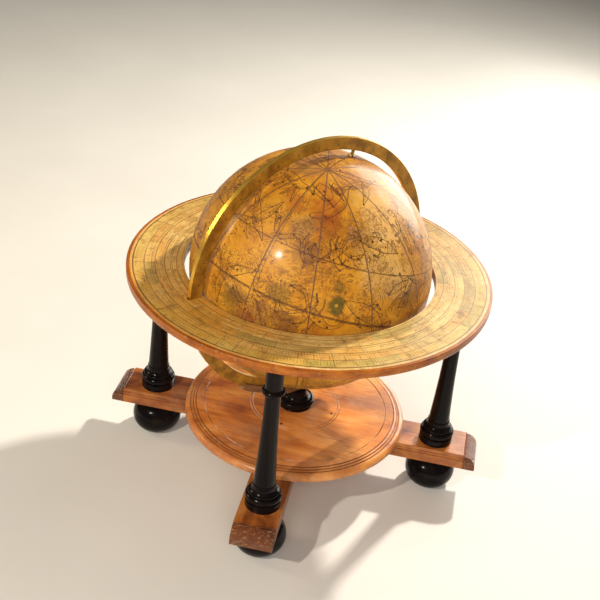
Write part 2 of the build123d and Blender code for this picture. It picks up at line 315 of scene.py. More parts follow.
def paint_disc(place):
    wood, gloss, relief = walnut(place, 40, 11, DISC_TONES)
    radius = from_axis(place)[0]
    flame = place.noise(9, 4, 0.6, distortion=1.8, stretch=(1, 0.45, 1), angle=-75).step(0.50, 0.62)
    wood = (flame * 0.50).mix(wood, DISC_TONES[0])
    dust = place.noise(6, 5, 0.65) * 0.9 + place.noise(55, 4, 0.7) * 0.35
    wood = (dust.step(0.52, 0.80) * 0.32).mix(wood, DISC_DUST)
    # Dark and pale lines in the turned grooves are painted shade and painted highlight.
    wax = place.noise(22, 3).step(0.42, 0.58)
    lines = radius.line(SINGLE_GROOVE, 0.0006)
    for groove in DOUBLE_GROOVES:
        lines = lines.larger(radius.line(groove, 0.0006))
    wood = (lines * 0.75).mix(wood, wax.mix(GROOVE_SHADE, GROOVE_HIGHLIGHT))
    # Dark rings at the moulded steps are painted shade in their fillets.
    dirt = radius * 0.0
    for step in MOULDING_STEPS:
        dirt = dirt.larger(radius.line(step, 0.0008))
    wood = (dirt * 0.7).mix(wood, STEP_SHADE)
    rim = radius.step(*MOULDED_RIM)
    wood = (rim * 0.30).mix(wood, RIM_BROWN)
    rubbed = rim * place.noise(90, 4, 0.65).step(0.52, 0.72)
    wood = (rubbed * 0.22).mix(wood, WALNUT_WORN)
    return {"Base Color": wood, "Roughness": gloss + 0.02, "Normal": relief.bump(0.0009, 0.45)}


coat(finish("walnut_disc", paint_disc, Coat_Weight=0.15, Coat_Roughness=0.2, Specular_IOR_Level=0.4),
     "base_disc")


def paint_peg(place):
    rings = place.noise(500, 3, 0.6)
    return {"Base Color": rings.ramp((0.3, PEG_DARK), (0.7, PEG_PALE)),
            "Roughness": 0.45 + rings * 0.2, "Normal": rings.bump(0.0003, 0.5)}


coat(finish("end_grain", paint_peg), "disc_pegs", "horizon_tongues")

# ---------------------------------------------------------------- cradle
# Brown beech saddle, sawn to the ring's curve and slotted for it, satin from handling.

CRADLE_DARK, CRADLE_PALE, CRADLE_FLECK = (0.11, 0.045, 0.016), (0.27, 0.125, 0.045), (0.07, 0.03, 0.012)


def paint_cradle(place):
    grain = place.noise(90, 5, 0.6, stretch=(1, 0.12, 1))
    flecks = place.noise(700, 2, stretch=(1, 0.3, 1)).step(0.60, 0.70)
    wood = grain.ramp((0.3, CRADLE_DARK), (0.7, CRADLE_PALE))
    return {"Base Color": (flecks * 0.5).mix(wood, CRADLE_FLECK),
            "Roughness": 0.38 + grain * 0.2, "Normal": grain.bump(0.0008, 0.4)}


coat(finish("cradle_beech", paint_cradle, Coat_Weight=0.2, Coat_Roughness=0.25), "meridian_cradle")

# ---------------------------------------------------------------- horizon boards
# Four curved boards under one orange varnish. It is rubbed through along the outer edge.

BOARD_TONES = ((0.16, 0.038, 0.004), (0.34, 0.092, 0.006), (0.48, 0.155, 0.014))
BOARD_DARK, BOARD_SCUFFED = (0.20, 0.06, 0.015), (0.50, 0.28, 0.10)


def paint_board(place):
    grain = place.noise(45, 5, 0.6, stretch=(0.25, 1, 2.5), angle=35)
    scuffs = place.noise(120, 4, 0.65).step(0.56, 0.70)
    dark = place.noise(20, 3).step(0.50, 0.72)
    wood = grain.ramp(*zip((0.28, 0.52, 0.78), BOARD_TONES))
    wood = (dark * 0.35).mix(wood, BOARD_DARK)
    wood = (scuffs * 0.4).mix(wood, BOARD_SCUFFED)
    return {"Base Color": wood, "Roughness": 0.33 + scuffs * 0.22,
            "Normal": (grain * 0.7 + scuffs * 0.3).bump(0.001, 0.4)}


coat(finish("horizon_varnish", paint_board, Coat_Weight=0.1, Coat_Roughness=0.2, Specular_IOR_Level=0.3),
     *("horizon_board_" + side for side in ("north", "west", "south", "east")))

# ---------------------------------------------------------------- horizon paper
# Four printed sheets glued on the boards and varnished: tinted month and sign bands, worn to bare board along the
# outer rim, darker where hands and dust have been. The paper and the bare rim also carry painted light: paler
# where lit, with a painted shadow of the ball across the south side.

PAPER_BROWN_AND_SHADED, PAPER_PALE_AND_LIT = (0.64, 0.28, 0.018), (0.75, 0.54, 0.205)
PAPER_GREEN = (0.22, 0.19, 0.050)
PAPER_ORANGE = (0.55, 0.22, 0.022)
PAPER_YELLOW = (0.52, 0.40, 0.05)
PAPER_SHADE, PAPER_DIRT, PAPER_STAIN = (0.24, 0.13, 0.025), (0.17, 0.085, 0.02), (0.11, 0.065, 0.02)
PAPER_RULED, PAPER_RUBBED = (0.20, 0.09, 0.02), (0.80, 0.58, 0.24)
MONTH_BAND = (0.217, 0.232)
SIGN_BAND = (0.2035, 0.217)
INNER_BAND = (0.179, 0.1935)
OUTER_BAND = (0.2325, 0.2465)
RIM_LINE = 0.248
BARE_BOARD, BARE_RUBBED_AND_LIT = (0.58, 0.19, 0.018), (0.74, 0.55, 0.30)

# Painted light on the paper, once round from the west, low in the ball's painted shadow on the south side: share
# of the turn and share of the way.
PAINTED_LIGHT_ROUND = ((0, 0.58), (0.10, 0.60), (0.17, 0.42), (0.27, 0.22), (0.34, 0.46), (0.41, 0.78),
                  (0.54, 0.84), (0.66, 0.66), (1, 0.58))


def band(radius, limits):
    """1 between two radii, with edges less than a millimetre soft."""
    inside, outside = (radius.step(limit - 0.0004, limit + 0.0004) for limit in limits)
    return inside - outside


def paint_sheet(place):
    radius, across, beside = from_axis(place)
    degrees = across.maths("ARCTAN2", beside, across) * (180 / math.pi)

    def sector(start, seed):
        """A steady random value for each sector of fifteen degrees."""
        index = degrees.maths("FLOOR", (degrees - start) / 15.0)
        return degrees.node("TexWhiteNoise", {"noise_dimensions": "1D"}, {"W": index + seed}, out=0)

    clouds = place.noise(11, 4, 0.6)
    fibres = place.noise(160, 4, 0.65)
    streak = place.noise(34, 5, 0.6, distortion=0.5)
    # Painted light: the paper is paler where lit and darker in the ball's painted shadow.
    painted_light = (degrees / 360.0 + 0.5).ramp(*((spot, (grey,) * 3) for spot, grey in PAINTED_LIGHT_ROUND))
    paper = (painted_light + (clouds - 0.5) * 1.1 + (fibres - 0.5) * 0.5).mix(PAPER_BROWN_AND_SHADED, PAPER_PALE_AND_LIT)
    shade = (clouds * 0.5 + streak * 0.6).step(0.40, 0.68)
    paper = ((1 - shade) * 0.34).mix(paper, PAPER_SHADE)
    worn = 0.25 + streak.step(0.40, 0.62) * 0.75
    for limits, start, seed in ((MONTH_BAND, 1.5, 0.0), (SIGN_BAND, 12.5, 7.0), (INNER_BAND, 4.0, 3.0),
                                (OUTER_BAND, 8.0, 5.0)):
        tint = band(radius, limits) * worn
        draw = sector(start, seed)
        paper = (tint * draw.step(0.66, 0.70) * 0.62).mix(paper, PAPER_GREEN)
        paper = (tint * (1 - draw.step(0.26, 0.30)) * 0.50).mix(paper, PAPER_ORANGE)
    paper = (band(radius, OUTER_BAND) * worn * 0.30).mix(paper, PAPER_YELLOW)
    dirt = place.noise(60, 5, 0.7).step(0.50, 0.70)
    paper = (dirt * 0.50).mix(paper, PAPER_DIRT)
    turning = across.node("CombineXYZ", {}, {0: radius * 90.0, 1: degrees * 0.05})
    rows = turning.noise(3.0, 4, 0.6).step(0.48, 0.66)
    paper = (rows * 0.35).mix(paper, PAPER_RULED)
    stains = place.noise(24, 3, 0.5).step(0.64, 0.72)
    paper = (stains * 0.55).mix(paper, PAPER_STAIN)
    pale = place.noise(43, 4, 0.6, distortion=0.6).step(0.60, 0.75)
    paper = (pale * 0.45).mix(paper, PAPER_RUBBED)
    ragged = radius + (fibres - 0.5) * 0.006 + (streak - 0.5) * 0.010
    bare = ragged.step(RIM_LINE + 0.0015, RIM_LINE + 0.004)
    # The bare rim is paler where the painted light is high, and where it is rubbed.
    rubbed = (painted_light * 1.3 - 0.35 + (fibres - 0.5) * 1.2).step(0.0, 1.0)
    paper = bare.mix(paper, rubbed.mix(BARE_BOARD, BARE_RUBBED_AND_LIT))
    return {"Base Color": paper, "Roughness": 0.36 + fibres * 0.16 + dirt * 0.12,
            "Normal": (fibres * 0.5 + streak * 0.8 - bare * 0.5).bump(0.0008, 0.4)}


coat(finish("horizon_print", paint_sheet, Coat_Weight=0.12, Coat_Roughness=0.3, Specular_IOR_Level=0.28),
     "horizon_paper")

# ---------------------------------------------------------------- printer's ink
# Engraved lines are laid as flat ribbons on the paper, a few hundredths of a millimetre proud of it. The ink
# is carbon and oil, brown under the old varnish and faded in places.

INK_DARK, INK_FADED = (0.045, 0.015, 0.006), (0.17, 0.060, 0.014)


def route_mesh(name, routes, smooth=True):
    """Pen strokes as polylines. A route is a list of points, rounded off where smooth is true."""
    curve = bpy.data.curves.new(name, "CURVE")
    curve.dimensions, curve.resolution_u = "3D", 4
    for route in routes:
        stroke = curve.splines.new("NURBS" if smooth and len(route) > 2 else "POLY")
        stroke.points.add(len(route) - 1)
        for point, place in zip(stroke.points, route):
            point.co = (*place, 1)
        if stroke.type == "NURBS":
            stroke.order_u, stroke.use_endpoint_u = 3, True
    holder = add_object(name, curve)
    mesh = bpy.data.meshes.new_from_object(holder)
    bpy.data.objects.remove(holder)
    return mesh


def ribbon(mesh, upright, width, settle):
    """Widens polylines into flat ribbons that face along upright(place), then lays them at settle(place)."""
    shape = bmesh.new()
    shape.from_mesh(mesh)
    shape.verts.ensure_lookup_table()
    sides = []
    for vert in shape.verts:
        line = sorted([vert.index] + [edge.other_vert(vert).index for edge in vert.link_edges])
        along = shape.verts[line[-1]].co - shape.verts[line[0]].co
        sides.append(along.cross(upright(vert.co)).normalized())
    wide = {vert: sides[vert.index] * width(vert.co) / 2 for vert in shape.verts}
    made = bmesh.ops.extrude_edge_only(shape, edges=shape.edges[:])["geom"]
    fresh = {item for item in made if isinstance(item, bmesh.types.BMVert)}
    for vert in fresh:
        old = next(edge.other_vert(vert) for edge in vert.link_edges if edge.other_vert(vert) not in fresh)
        vert.co = old.co - wide[old]
    for vert, side in wide.items():
        vert.co += side
    for vert in shape.verts:
        vert.co = settle(vert.co)
    shape.normal_update()
    inward = [face for face in shape.faces if face.normal.dot(upright(face.calc_center_median())) < 0]
    bmesh.ops.reverse_faces(shape, faces=inward)
    shape.to_mesh(mesh)
    shape.free()


def add_piece(name, mesh, body, material):
    """Puts a finished mesh in the scene and lets it ride on a body."""
    mesh.materials.clear()
    mesh.materials.append(material)
    piece = add_object(name, mesh)
    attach(piece, body)
    return piece


def paint_ink(place):
    faded = place.noise(30, 4, 0.6).step(0.35, 0.75)
    return {"Base Color": faded.mix(INK_DARK, INK_FADED),
            "Roughness": 0.42 + faded * 0.15}


ink = finish("brown_ink", paint_ink, Coat_Weight=0.3, Coat_Roughness=0.2)


def on_circle(radius, degrees, height=0.0):
    return Vector((radius * math.cos(math.radians(degrees)), radius * math.sin(math.radians(degrees)), height))


def arc(radius, start, end, height, step=2.0):
    """Points of a flat arc about Z, close enough for a smooth line."""
    count = max(2, round(abs(end - start) / step)) + 1
    return [on_circle(radius, start + (end - start) * index / (count - 1), height) for index in range(count)]


# ---------------------------------------------------------------- print on the horizon
# Circles, month and sign divisions, day and degree scales, and small numerals at every tenth degree.

PRINT_CIRCLES = (0.2475, 0.2465, 0.2320, 0.2310, 0.2215, 0.2170, 0.2162, 0.2070, 0.2035, 0.2028,
                 0.1960, 0.1935, 0.1875, 0.1868, 0.1795)
HORIZON_LINE = 0.00038
HORIZON_LIFT = 0.00003
OUTER_RULES = 0.2445           # the two circles past this radius are twice as wide
NOTCH_HALF_ANGLE = 1.6
NOTCH_REACH = 0.1995
SCALES = ((12, 0.2170, 0.2465, 1.5), (12, 0.1795, 0.2170, 12.5), (365, 0.2170, 0.2215, 0), (73, 0.2215, 0.2310, 0),
          (360, 0.2035, 0.2053, 0), (72, 0.2035, 0.2070, 0), (360, 0.1935, 0.1960, 0), (32, 0.1875, 0.1935, 0))
DAYS = 365
DAY_WORDS, DAY_NAMES = 0.2325, 0.2230
DAY_NAMES_END = 0.2260
SHORT_RULES = (0.2090, 0.2108, 0.2126, 0.2144, 0.1975, 0.1992)
NUMERAL_CIRCLES = (0.1903, 0.1998)
NUMERAL_HEIGHT = 0.0042
sheet_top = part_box("horizon_paper")[1].z
rules = random.Random(11)


def clear_of_notch(radius, degrees):
    return radius > NOTCH_REACH or abs((degrees - 90) % 180 - 90) < 90 - NOTCH_HALF_ANGLE


routes = []
for radius in PRINT_CIRCLES:
    gap = 0.0 if radius > NOTCH_REACH else NOTCH_HALF_ANGLE
    for side in (-90, 90):
        routes.append(arc(radius, side + gap, side + 180 - gap, sheet_top))


for count, inner, outer, start in SCALES:
    for index in range(count):
        degrees = start + index * 360 / count
        if clear_of_notch(inner, degrees):
            routes.append([on_circle(inner, degrees, sheet_top), on_circle(outer, degrees, sheet_top)])
for index in range(DAYS):
    degrees = index * 360 / DAYS
    start = DAY_WORDS + rules.random() * 0.002
    routes.append([on_circle(start, degrees, sheet_top),
                   on_circle(start + rules.uniform(0.002, 0.0115), degrees, sheet_top)])
    if rules.random() < 0.55:
        routes.append([on_circle(DAY_NAMES + rules.random() * 0.001, degrees, sheet_top),
                       on_circle(DAY_NAMES_END + rules.random() * 0.003, degrees + 0.3, sheet_top)])
    if rules.random() < 0.6:
        radius = rules.choice(SHORT_RULES)
        routes.append(arc(radius, degrees, degrees + rules.uniform(0.5, 2.2), sheet_top, 1.0))

horizon_print = route_mesh("horizon_print_lines", routes, smooth=False)
ribbon(horizon_print, lambda place: Vector((0, 0, 1)),
       lambda place: HORIZON_LINE * (2.0 if place.xy.length > OUTER_RULES else 1.0),
       lambda place: place + Vector((0, 0, HORIZON_LIFT)))
add_piece("horizon_print_lines", horizon_print, "stand", ink)


def numeral(text, height):
    """Flat digits about the origin, read from -Y, as a mesh."""
    words = bpy.data.curves.new("numeral", "FONT")
    words.body, words.size, words.align_x, words.align_y = text, height, "CENTER", "CENTER"
    words.resolution_u = 2
    holder = add_object("numeral", words)
    mesh = bpy.data.meshes.new_from_object(holder)
    bpy.data.objects.remove(holder)
    return mesh


def print_numerals(name, size, places, body, material):
    """Sets numerals at places, a list of (text, matrix), as one mesh."""
    shape = bmesh.new()
    for text, matrix in places:
        mesh = numeral(text, size)
        mesh.transform(matrix)
        shape.from_mesh(mesh)
    mesh = bpy.data.meshes.new(name)
    shape.to_mesh(mesh)
    shape.free()
    return add_piece(name, mesh, body, material)


places = []
for index in range(36):
    degrees = 12.5 + 10 * index
    text = str((index % 3 + 1) * 10)
    for radius in NUMERAL_CIRCLES:
        if clear_of_notch(radius, degrees + 5) and clear_of_notch(radius, degrees + 2):
            spot = Matrix.Translation(on_circle(radius, degrees + 5, sheet_top + 2 * HORIZON_LIFT))
            places.append((text, spot @ turn("Z", degrees + 5 - 90)))
print_numerals("horizon_numerals", NUMERAL_HEIGHT, places, "stand", ink)

# ---------------------------------------------------------------- inside of the ball
# Turned beech axle and end blocks, papier-mache half shells, linen over their joint, and plaster.


def paint_beech(place):
    grain = place.noise(120, 4, stretch=(1, 1, 0.1))
    return {"Base Color": grain.ramp((0.3, (0.36, 0.22, 0.10)), (0.7, (0.56, 0.38, 0.20))),
            "Roughness": 0.5 + grain * 0.2, "Normal": grain.bump(0.0005, 0.4)}


def paint_pulp(place):
    lumps = place.noise(150, 5, 0.65)
    return {"Base Color": lumps.ramp((0.3, (0.26, 0.20, 0.13)), (0.7, (0.46, 0.39, 0.28))),
            "Roughness": 0.8 + lumps * 0.15, "Normal": lumps.bump(0.001, 0.6)}


def paint_linen(place):
    weave = place.noise(900, 2, 0.5)
    return {"Base Color": weave.ramp((0.3, (0.42, 0.37, 0.26)), (0.7, (0.66, 0.60, 0.46))),
            "Roughness": 0.85 + weave * 0.1, "Normal": weave.bump(0.0004, 0.6)}


def paint_plaster(place):
    chalk = place.noise(90, 5, 0.6)
    return {"Base Color": chalk.ramp((0.3, (0.66, 0.62, 0.54)), (0.7, (0.82, 0.79, 0.72))),
            "Roughness": 0.75 + chalk * 0.15, "Normal": chalk.bump(0.0006, 0.4)}


def paint_iron(place):
    rust = place.noise(600, 4, 0.6).step(0.5, 0.7)
    return {"Base Color": rust.mix((0.10, 0.095, 0.09), (0.16, 0.07, 0.03)), "Roughness": 0.45 + rust * 0.35,
            "Metallic": 1 - rust * 0.8}


coat(finish("bare_beech", paint_beech), "axle_rod", "end_block_north", "end_block_south")
coat(finish("pulp", paint_pulp), "shell_north", "shell_south")
coat(finish("linen_strip", paint_linen), "seam_strip")
coat(finish("plaster_coat", paint_plaster), "plaster_coat")
coat(finish("forged_iron", paint_iron), "shell_tacks")

# ---------------------------------------------------------------- printed paper of the ball
# Twelve gores meet at the poles of the ecliptic, each lapping its neighbour a little, with two round caps.
# The varnish has gone amber, deeper along the seams and near the upper pole.

OBLIQUITY = 23.5
GLOBE_TURN = 26.0
FIRST_SEAM = -2.0
GORES = 12
LAP = 0.00016
LAP_ANGLE = 1.6
UNEVEN = 0.00022
ball_low, ball_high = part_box("map_gores")
ball_radius = (ball_high.z - ball_low.z) / 2
pole_altitude = math.degrees(math.asin(pole.z))
polar_turn = turn("X", pole_altitude - 90)
map_turn = polar_turn @ turn("Z", GLOBE_TURN) @ turn("X", OBLIQUITY)
seam_turn = map_turn @ turn("Z", FIRST_SEAM)


def paper_radius(out):
    """How far the paper lies from the middle in a direction of the gores' own axes."""
    longitude = math.degrees(math.atan2(out.y, out.x)) % (360 / GORES)
    lap = max(0.0, 1 - longitude / LAP_ANGLE) * LAP
    swell = noise.noise(out * 3.1) * 0.6 + noise.noise(out * 9.0 + Vector((5, 1, 2))) * 0.4
    return ball_radius - LAP + lap + (swell - 0.5) * UNEVEN


shape = bmesh.new()
bmesh.ops.create_uvsphere(shape, u_segments=GORES * 30, v_segments=160, radius=ball_radius - LAP)
for vert in shape.verts:
    out = vert.co.normalized()
    vert.co = out * paper_radius(out)
map_mesh = bpy.data.meshes.new("map_paper")
shape.to_mesh(map_mesh)
shape.free()
map_mesh.transform(Matrix.Translation(middle) @ seam_turn)
map_mesh.shade_smooth()

AMBER = (0.58, 0.245, 0.011)
AMBER_PALE = (0.72, 0.375, 0.036)
AMBER_DEEP = (0.38, 0.122, 0.006)
SOOT = (0.12, 0.055, 0.022)
SEAM_BROWN = (0.13, 0.060, 0.030)
DRAWN_BROWN = (0.11, 0.034, 0.010)
CAP_BROWN = (0.28, 0.11, 0.04)

# Washes that a colourist laid over some figures, and, listed first so the others lie over them, three pale patches
# of painted sheen on the ball's right shoulder: longitude and latitude on the map, half width in degrees, strength
# and colour.
RED_WASH, GREEN_WASH = (0.34, 0.055, 0.008), (0.075, 0.070, 0.008)
UMBER_WASH, GREY_WASH, GOLD_WASH = (0.15, 0.060, 0.022), (0.20, 0.13, 0.075), (0.60, 0.33, 0.02)
PAINTED_SHEEN_WASH = (0.84, 0.56, 0.21)
WASHES = ((338, 38, 15, 0.45, PAINTED_SHEEN_WASH), (356, 58, 15, 0.45, PAINTED_SHEEN_WASH),
          (350, 28, 9, 0.3, PAINTED_SHEEN_WASH),
          (276, 13, 8, 0.6, UMBER_WASH), (262, 17, 7, 0.55, UMBER_WASH), (268, 5, 8, 0.6, UMBER_WASH),
          (310, 25, 4.8, 1.0, GREEN_WASH), (310, 25, 0.8, 0.9, GOLD_WASH),
          (311, 33, 3.2, 0.6, GREEN_WASH), (302, 68, 7, 0.5, RED_WASH),
          (300, 58, 6, 0.45, RED_WASH), (299, 77, 5, 0.4, RED_WASH), (262, 66, 6, 0.35, RED_WASH),
          (282, 26, 5, 0.55, GREEN_WASH), (290, 45, 6, 0.55, UMBER_WASH), (284, 57, 6, 0.45, GREY_WASH),
          (195, 81, 8, 0.45, GREY_WASH), (354, 19, 7, 0.45, UMBER_WASH), (288, 14, 6, 0.6, UMBER_WASH),
          (260, 13, 7, 0.45, GREEN_WASH), (347, 71, 7, 0.45, GOLD_WASH), (329, 53, 6, 0.35, GREY_WASH),
          (269, 11, 6, 0.4, RED_WASH), (336, 12, 5, 0.4, RED_WASH), (40, 30, 7, 0.5, UMBER_WASH),
          (75, 50, 8, 0.5, GREEN_WASH), (110, 10, 7, 0.5, RED_WASH), (150, 35, 8, 0.45, UMBER_WASH),
          (185, 20, 7, 0.5, GREEN_WASH), (220, -15, 8, 0.5, UMBER_WASH), (20, -25, 8, 0.5, RED_WASH),
          (95, -40, 8, 0.5, UMBER_WASH), (300, -35, 8, 0.5, GREEN_WASH))


def paint_map(place):
    turned = place.node("Mapping", {"vector_type": "TEXTURE"},
                        {"Vector": place, "Location": middle, "Rotation": seam_turn.to_euler()})
    x, y, z = turned.parts()
    across = x.maths("SQRT", x * x + y * y)
    degrees = x.maths("ARCTAN2", y, x) * (180 / math.pi)
    wrapped = degrees.maths("PINGPONG", degrees + 360.0, 180 / GORES)
    from_seam = wrapped * (math.pi / 180) * across
    clouds = place.noise(9, 4, 0.55)
    mottle = place.noise(34, 5, 0.62, distortion=0.6)
    speckle = place.noise(120, 5, 0.7)
    paper = (clouds * 0.45 + mottle * 0.5 + speckle * 0.1).ramp((0.38, AMBER_DEEP), (0.52, AMBER),
                                                                (0.70, AMBER_PALE))
    blots = (place.noise(16, 4, 0.6, distortion=1.5) - 0.06 * (1 - clouds)).step(0.54, 0.72)
    paper = (blots * 0.5).mix(paper, AMBER_DEEP)
    edge = mottle * 0.7 + speckle * 0.5 - 0.62
    for longitude, latitude, reach, strength, colour in WASHES:
        centre = Vector((math.cos(math.radians(longitude - FIRST_SEAM)), math.sin(math.radians(
            longitude - FIRST_SEAM)), 0)) * math.cos(math.radians(latitude))
        centre.z = math.sin(math.radians(latitude))
        away = turned.node("VectorMath", {"operation": "DISTANCE"}, {0: turned, 1: centre * ball_radius},
                           out="Value")
        spread = ball_radius * math.radians(reach)
        wash = 1 - (away + edge * spread * 2.6).step(spread * 0.50, spread * 1.10)
        paper = (wash * strength * (0.35 + speckle * 1.1)).mix(paper, colour)
    soot = place.noise(47, 5, 0.68, distortion=0.8).step(0.58, 0.74)
    paper = (soot * 0.55).mix(paper, SOOT)
    field = place.noise(26, 4, 0.6, distortion=1.6)
    contour = 1 - field.maths("PINGPONG", field * 9.0, 0.5).step(0.05, 0.15)
    patches = place.noise(19, 3, 0.5).step(0.44, 0.54)
    flourish = contour * patches
    small = place.noise(75, 3, 0.6, distortion=2.0)
    script = (1 - small.maths("PINGPONG", small * 6.0, 0.5).step(0.08, 0.22)) * place.noise(
        24, 3, 0.5, stretch=(1, 1, 2.0)).step(0.46, 0.55)
    strokes = place.noise(330, 2, 0.4, stretch=(1, 0.25, 0.6), angle=35).step(0.50, 0.62) * place.noise(
        30, 3, 0.5).step(0.55, 0.66)
    drawn = (flourish * 0.85).larger(script * 0.85).larger(strokes * 0.6)
    paper = (drawn * (0.50 + clouds * 0.75)).mix(paper, DRAWN_BROWN)
    grime = 1 - (from_seam + (speckle - 0.5) * 0.0010).step(0.0002, 0.0016)
    joint = 1 - from_seam.step(0.0004, 0.0012)
    paper = (grime * 0.35 + joint * 0.6).mix(paper, SEAM_BROWN)
    cap = (1 - across.step(0.010, 0.050)) * z.step(0.0, 0.05) * place.noise(70, 4).step(0.35, 0.62)
    paper = (cap * 0.5).mix(paper, CAP_BROWN)
    crackle = place.node("TexVoronoi", {"feature": "DISTANCE_TO_EDGE"}, {"Vector": place, "Scale": 150.0})
    cracks = 1 - crackle.step(0.01, 0.05)
    scratches = place.noise(26, 6, 0.72, stretch=(1, 0.2, 1))
    return {"Base Color": (cracks * 0.12).mix(paper, SOOT),
            "Roughness": 0.44 + mottle * 0.14 + soot * 0.10 + cracks * 0.05,
            "Normal": (mottle * 0.7 + scratches * 0.4 - cracks * 0.10).bump(0.0012, 0.30)}


varnished_map = finish("varnished_map", paint_map, Coat_Weight=0.20, Coat_Roughness=0.15,
                       Specular_IOR_Level=0.5)
map_paper = add_piece("map_paper", map_mesh, "globe", varnished_map)
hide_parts("map_gores", "map_calottes")

# ---------------------------------------------------------------- circles and scales engraved on the ball
# The equator and the ecliptic are scales of single degrees. Thin double lines mark the tropics and polar
# circles, and single lines the quarter circles through the poles.

FINE_LINE, BOLD_LINE = 0.00055, 0.0011
TROPIC, POLAR_CIRCLE = OBLIQUITY, 90 - OBLIQUITY
SCALE_EDGE = 0.45              # half width of a degree scale, in degrees


def paper_place(place, lift=0.00005):
    """The point of the uneven paper under or over a place, raised by the thickness of the ink."""
    out = (seam_turn.to_3x3().transposed() @ (place - middle)).normalized()
    return middle + seam_turn.to_3x3() @ out * (paper_radius(out) + lift)


def on_ball(longitude, latitude, frame_turn):
    flat = math.cos(math.radians(latitude))
    return middle + frame_turn.to_3x3() @ Vector((
        flat * math.cos(math.radians(longitude)), flat * math.sin(math.radians(longitude)),
        math.sin(math.radians(latitude)))) * ball_radius


def out_of_ball(place):
    return (place - middle).normalized()


sky_turn = polar_turn @ turn("Z", GLOBE_TURN)
fine, bold = [], []


def small_circle(frame_turn, latitude, step=2):
    return [on_ball(longitude, latitude, frame_turn) for longitude in range(0, 360 + step, step)]


for frame_turn in (sky_turn, map_turn):
    for edge in (-SCALE_EDGE, SCALE_EDGE):
        fine.append(small_circle(frame_turn, edge))
    for degree in range(360):
        longest = 1.15 if degree % 10 == 0 else 0.8 if degree % 5 == 0 else SCALE_EDGE
        fine.append([on_ball(degree, -longest, frame_turn), on_ball(degree, SCALE_EDGE, frame_turn)])
    bold.append(small_circle(frame_turn, 0))
for latitude in (TROPIC, -TROPIC, POLAR_CIRCLE, -POLAR_CIRCLE):
    fine.append(small_circle(sky_turn, latitude - 0.15))
    fine.append(small_circle(sky_turn, latitude + 0.15))
for longitude in (0, 90, 180, 270):
    fine.append([on_ball(longitude, latitude, sky_turn) for latitude in range(-88, 90, 2)])

circles = route_mesh("map_circles", fine, smooth=False)
ribbon(circles, out_of_ball, lambda place: FINE_LINE, paper_place)
add_piece("map_circles", circles, "globe", ink)
bands = route_mesh("map_scale_bands", bold, smooth=False)
ribbon(bands, out_of_ball, lambda place: BOLD_LINE, paper_place)
add_piece("map_scale_bands", bands, "globe", ink)

# ---------------------------------------------------------------- constellation figures
# Beasts, birds, fish, serpents, ships, scorpions and robed figures, drawn in outline with a shaded side. They
# are of no particular atlas. A limb is its half widths, then the points of its middle line.

